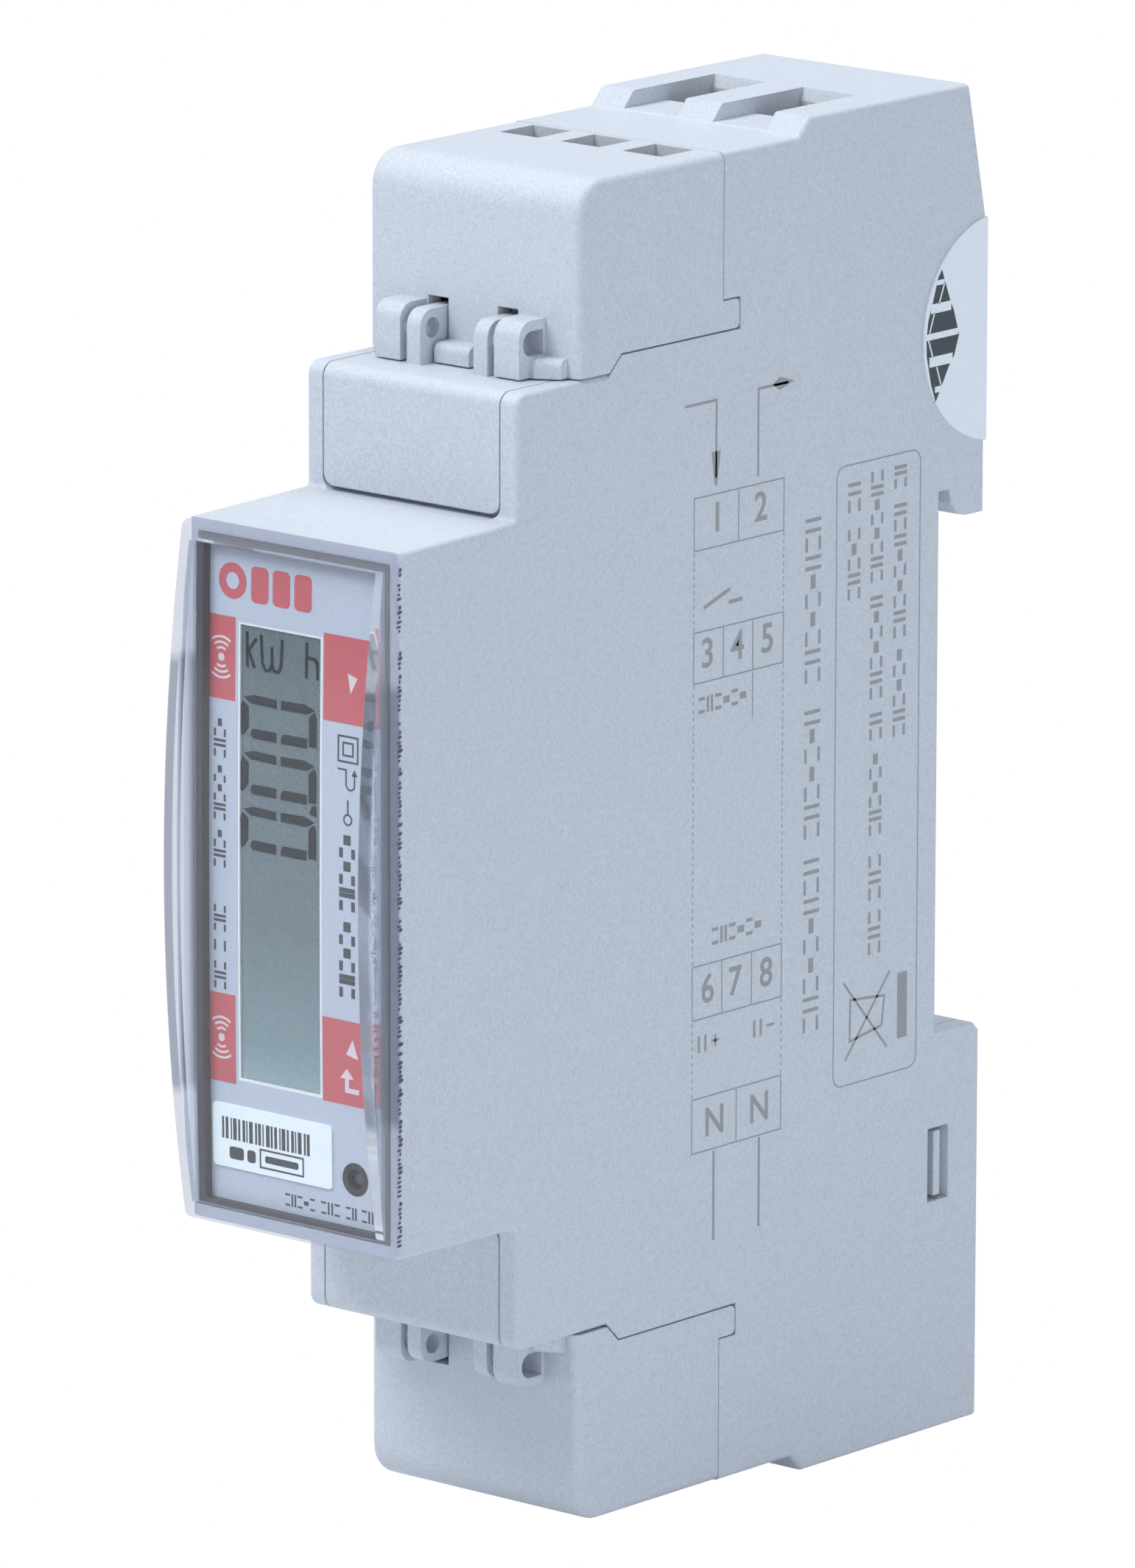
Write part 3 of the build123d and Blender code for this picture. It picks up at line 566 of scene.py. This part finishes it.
labelLook = {"front": 52.02, "top": (-17.0, -15.6), "left": -6.2, "stripes": 22,
             "stripeWidths": (0.16, 0.3, 0.1, 0.22), "gaps": (0.14, 0.1, 0.2),
             "spots": ((-5.6, -4.4), (-4.1, -3.4)), "spotZ": (-18.25, -17.45), "spotSoft": 0.2,
             "frameX": (-3.0, 0.6), "frameZ": (-18.4, -17.25), "frameWidth": 0.12,
             "slotX": (-2.6, 0.2), "slotZ": (-18.05, -17.6), "slotSoft": 0.15}


def labelArt(look):
    art = Sheet(*frontPlane, look["front"] + clearance, inkThick)
    left = look["left"]
    for number in range(look["stripes"]):
        width = look["stripeWidths"][number * 7 % 4]
        art.bar((left, left + width), look["top"])
        left += width + look["gaps"][number * 5 % 3]
    for u in look["spots"]:
        art.bar(u, look["spotZ"], look["spotSoft"])
    art.frame(look["frameX"], look["frameZ"], look["frameWidth"])
    art.bar(look["slotX"], look["slotZ"], look["slotSoft"])
    art.piece("label_print", inks["dark"], "label_white")


labelArt(labelLook)

sideLook = {
    "x": 8.75, "raised": 0.002, "thick": 0.01, "line": 0.17, "thin": 0.09, "left": -24.42, "right": -15.58,
    "boxes": ((18.15, 21.55, (-20.05,)), (9.55, 12.85, (-21.5, -18.6)), (-12.4, -8.9, (-21.5, -18.55)),
              (-21.15, -17.6, (-20.02,))),
    "stub": ((-18.6, 9.4), (-18.6, 6.45)),
    "links": ((12.85, 18.15), (-8.9, 9.55), (-17.6, -12.4)), "dashPitch": 0.5, "dash": (0.04, 0.13),
    "numerals": ((19.95, (("1", -22.15), ("2", -17.85))), (11.3, (("3", -23.05), ("4", -20.1), ("5", -17.15))),
                 (-10.6, (("6", -22.9), ("7", -20.2), ("8", -17.1))), (-19.4, (("N", -22.17), ("N", -17.72)))),
    "numeralHeight": 1.95, "numeralBold": 0.035,
    "flowLines": (((-25.35, 27.6), (-22.27, 27.6), (-22.3, 22.6)),
                  ((-18.15, 22.05), (-18.15, 27.7), (-15.2, 27.7))),
    "flowHeads": (((-22.75, 24.3), (-21.85, 24.3), (-22.2, 22.1), (-22.4, 22.1)),
                  ((-16.75, 27.75), (-16.05, 28.15), (-14.6, 27.72), (-16.05, 27.3))),
    "contact": (((-23.45, 14.35), (-20.85, 15.2), 0.24), ((-21.0, 14.35), (-19.65, 14.37), 0.26)),
    "tails": (-22.24, -17.73), "tailZ": (-21.3, -27.2), "tailWidth": 0.204,
    "signs": ((-22.5, True), (-17.0, False)), "signZ": (-14.6, -13.5), "signWidth": 0.22, "signThin": 0.18,
    "words": (((-24.0, -19.1), (7.55, 8.6), 0.8), ((-22.6, -17.5), (-7.75, -6.65), 0.85)), "wordStroke": 0.22,
    "longRow": ((7.6, 18.65), (-2.6, 6.1), (-15.4, -3.7)), "longRowY": (-13.4, -11.85), "longPitch": 1.25,
    "panel": ((-10.3, -1.87), (-19.55, 21.35)), "panelSoft": 0.8,
    "columns": (((-9.15, -7.9), ((18.1, 20.3), (12.4, 17.25))),
                ((-6.85, -5.6), ((13.2, 20.7), (5.5, 12.5), (2.8, 4.8), (-3.5, 2.1), (-7.8, -4.6),
                                 (-11.4, -8.3))),
                ((-4.5, -3.25), ((19.0, 20.7), (9.15, 18.2), (2.65, 8.6)))),
    "columnPitch": 1.0, "rowStroke": 0.24,
    "binFoot": ((-3.82, -2.84), (-17.4, -13.05)),
    "binCross": (((-9.3, -12.7), (-4.85, -17.75)), ((-4.6, -12.7), (-9.1, -17.9))),
    "binBody": ((-8.6, -13.95), (-5.15, -14.25), (-5.4, -16.2), (-8.65, -16.7)),
}


def sideSheet(look):
    return Sheet(*sidePlane, look["x"] + look["raised"], look["thick"])


def sideBoxes(look):  # the terminals' numbers and the dashed lines between them
    art = sideSheet(look)
    thin, left, right = look["thin"], look["left"], look["right"]
    for low, high, cuts in look["boxes"]:
        art.frame((left, right), (low, high), thin)
        for cut in cuts:
            art.line([(cut, low + 0.07), (cut, high - 0.07)], thin)
    art.line(look["stub"], thin)
    for v, row in look["numerals"]:
        for text, u in row:
            art.numeral(text, u, v, look["numeralHeight"], look["numeralBold"])
    halfU, halfV = look["dash"]
    for low, high in look["links"]:
        dashes = round((high - low) / look["dashPitch"])
        for number in range(dashes):
            v = low + (number + 0.5) * (high - low) / dashes
            for u in (left, right):
                art.bar((u - halfU, u + halfU), (v - halfV, v + halfV))
    art.piece("side_marking_boxes", inks["marking"], "housing_grey")


def sideSigns(look):  # the way in and out, the contact, and the polarity of the signal
    signs = sideSheet(look)
    for points in look["flowLines"]:
        signs.line(points, look["line"])
    for points in look["flowHeads"]:
        signs.prism(points)
    for a, b, width in look["contact"]:
        signs.line([a, b], width)
    high, low = look["tailZ"]
    for u in look["tails"]:
        signs.line([(u, high), (u, low)], look["tailWidth"])
    low, high = look["signZ"]
    middle = (low + high) / 2
    for u, plus in look["signs"]:
        for bar in (u - 1.25, u - 0.6):
            signs.line([(bar, low), (bar, high)], look["signWidth"])
        signs.line([(u, middle), (u + 0.75, middle)], look["signThin"])
        if plus:
            signs.line([(u + 0.375, middle - 0.4), (u + 0.375, middle + 0.4)], look["signThin"])
    signs.piece("side_marking_signs", inks["marking"], "housing_grey")


def sideRows(look):  # rows of blocks, the panel's frame and the crossed bin
    rows = sideSheet(look)
    for u, v, pitch in look["words"]:
        rows.blocks(u, v, pitch, look["wordStroke"])
    for v in look["longRow"]:
        rows.blocks(look["longRowY"], v, look["longPitch"], look["rowStroke"], True)
    for u, words in look["columns"]:
        for v in words:
            rows.blocks(u, v, look["columnPitch"], look["rowStroke"], True)
    rows.frame(*look["panel"], look["thin"], look["panelSoft"])
    rows.bar(*look["binFoot"])
    for points in look["binCross"]:
        rows.line(points, look["line"])
    rows.line(look["binBody"], look["line"], True)
    rows.piece("side_marking_rows", inks["marking"], "housing_grey")


for build in (sideBoxes, sideSigns, sideRows):
    build(sideLook)
print("side marked")

sealLook = {  # on the part of the seal that lies over the right side
    "x": 8.9, "raised": 0.003, "barRaised": 0.014, "thick": 0.01,
    "void": ((-0.02, 32.81), (-0.41, 32.29), (-0.92, 30.76), (-1.35, 29.67), (-1.55, 28.44), (-1.5, 27.28),
             (-1.03, 25.37), (-0.57, 24.21), (0.04, 25.21), (0.74, 26.37), (1.27, 26.99), (1.76, 28.3),
             (1.23, 29.93), (0.87, 30.61), (0.31, 31.96)),
    "bars": ((32.0, 0.32), (30.35, 0.62), (28.55, 0.42), (26.88, 0.66), (25.02, 0.4)),
    "middle": 28.4, "reach": 1.72, "taper": 0.36, "lean": 0.05,
    "threads": (((0.25, 31.95), (-0.3, 30.6)), ((-0.75, 30.1), (-1.25, 28.8)), ((-1.35, 28.35), (-0.9, 27.15)),
                ((-0.5, 26.5), (-0.05, 25.25))), "threadWidth": 0.12,
}


def sealPattern(look):
    dark = Sheet(*sidePlane, look["x"] + look["raised"], look["thick"])
    dark.prism(look["void"])
    dark.piece("seal_void", inks["sealDark"], "seal_film")
    bars = Sheet(*sidePlane, look["x"] + look["barRaised"], look["thick"])
    for v, width in look["bars"]:
        away = abs(v - look["middle"])
        reach, shift = look["reach"] - away * look["taper"], -away * look["lean"]
        bars.bar((shift - reach, shift + reach), (v - width / 2, v + width / 2))
    for thread in look["threads"]:
        bars.line(thread, look["threadWidth"])
    bars.piece("seal_bars", finishes["seal_film"], "seal_film")


sealPattern(sealLook)

gapShadowLook = {"y": -52.52, "x": 8.75, "raised": 0.002, "thick": 0.015, "low": -21.9, "high": 21.9, "shadowDabs": 150,
            "left": 0.2, "width": (0.04, 0.26), "stray": 0.16}


def scatter(number, seed):  # the same odd number from 0 to 1 at each run
    return math.sin(number * seed) * 437.58 % 1.0


def windowGapShadow(look):  # painted shadow: dark dabs along the gap where the window meets the right side of the housing, standing for the shade in that gap
    gapShadow = Sheet(*sidePlane, look["x"] + look["raised"], look["thick"])
    step = (look["high"] - look["low"]) / look["shadowDabs"]
    thinnest, widest = look["width"]
    for number in range(look["shadowDabs"]):
        chance, other = scatter(number, 12.9898), scatter(number, 78.233)
        if chance < look["left"]:
            continue  # a break in the painted shadow
        wide, tall = thinnest + chance * (widest - thinnest), step * (0.55 + 0.45 * other)
        u, v = look["y"] + (other - 0.5) * look["stray"], look["low"] + step * number
        gapShadow.prism([(u - wide, v + tall * 0.2), (u, v), (u + wide * 0.8, v + tall * 0.3),
                    (u + wide, v + tall * 0.8), (u, v + tall), (u - wide * 0.7, v + tall * 0.85)])
    gapShadow.piece("window_gap_shadow", inks["seam"], "clear_window")


windowGapShadow(gapShadowLook)
print("seal and seam laid")

view = {"azimuth": 40.699, "elevation": 12.981, "roll": 0.115, "distance": 0.85612, "lens": 308.2,
        "sensor": 36.0, "near": 0.01, "far": 50.0,
        "aim": (0, -0.0255, 0), "aside": -0.000614, "raised": 0.001919}


def makeCamera(values):
    a, e, r = (math.radians(values[key]) for key in ("azimuth", "elevation", "roll"))
    back = Vector((math.sin(a) * math.cos(e), -math.cos(a) * math.cos(e), math.sin(e)))
    level = Vector((math.cos(a), math.sin(a), 0))
    upright = back.cross(level)
    right = level * math.cos(r) + upright * math.sin(r)
    up = upright * math.cos(r) - level * math.sin(r)
    where = Vector(values["aim"]) + right * values["aside"] + up * values["raised"] + back * values["distance"]
    camera = bpy.data.objects.new("camera", bpy.data.cameras.new("camera"))
    bpy.context.scene.collection.objects.link(camera)
    camera.data.lens, camera.data.sensor_width = values["lens"], values["sensor"]
    camera.data.clip_start, camera.data.clip_end = values["near"], values["far"]
    turn = Matrix((right, up, back)).transposed()
    camera.matrix_world = Matrix.Translation(where) @ turn.to_4x4()
    bpy.context.scene.camera = camera


lights = (
    ("topSoftbox", {"where": (-0.1, 0.15, 0.9), "size": 0.7, "power": 3.7, "colour": (0.97, 0.985, 1.0)}),
    ("frontSoftbox", {"where": (-0.25, -0.55, 0.75), "size": 0.55, "power": 5.2, "colour": (0.975, 0.99, 1.0)}),
    ("sideSoftbox", {"where": (0.9, -0.2, 0.1), "size": 0.8, "power": 2.0, "colour": (0.95, 0.98, 1.0)}),
)
lightAim = (0, -0.025, 0)


def makeLight(name, values):
    lamp = bpy.data.lights.new(name, "AREA")
    lamp.shape, lamp.size, lamp.energy, lamp.color = "DISK", values["size"], values["power"], values["colour"]
    holder = bpy.data.objects.new(name, lamp)
    holder.location = values["where"]
    holder.rotation_mode = "QUATERNION"
    holder.rotation_quaternion = (Vector(lightAim) - holder.location).to_track_quat("-Z", "Y")
    bpy.context.scene.collection.objects.link(holder)


floorLook = {"half": 6.0, "z": -0.048, "colour": (0.77, 0.79, 0.81, 1), "seen": (1.0, 1.0, 1.0, 1)}
skyLook = {"light": (0.4, 0.44, 0.5, 1), "seen": (1.0, 1.0, 1.0, 1)}


def paperFloor(graph, values):  # white paper where the camera sees it, and greyer to the light
    paper = graph.node("BsdfDiffuse", None, {"Color": values["colour"]})
    bright = graph.node("Emission", None, {"Color": values["seen"], "Strength": 1.0})
    cameraRay = graph.node("LightPath")
    return graph.blend(cameraRay, paper, bright)


def makeFloor(values):
    mesh = bmesh.new()
    bmesh.ops.create_grid(mesh, x_segments=8, y_segments=8, size=values["half"])
    data = bpy.data.meshes.new("floor")
    mesh.to_mesh(data)
    mesh.free()
    floor = bpy.data.objects.new("floor", data)
    floor.location = (0, 0, values["z"])
    bpy.context.scene.collection.objects.link(floor)
    data.materials.append(finish("floorPaper", paperFloor, values))


def makeSky(values):
    world = bpy.data.worlds.new("sky")
    bpy.context.scene.world = world
    world.use_nodes = True
    graph = Graph(world.node_tree)
    colour = graph.tint(graph.node("LightPath"), values["light"], values["seen"])
    shader = graph.node("Background", None, {"Color": colour, "Strength": 1.0})
    graph.node("OutputWorld", None, {"Surface": shader})


bpy.context.scene.view_settings.view_transform = "Standard"
makeCamera(view)
makeFloor(floorLook)
makeSky(skyLook)
for name, values in lights:
    makeLight(name, values)
print("camera and lights set")
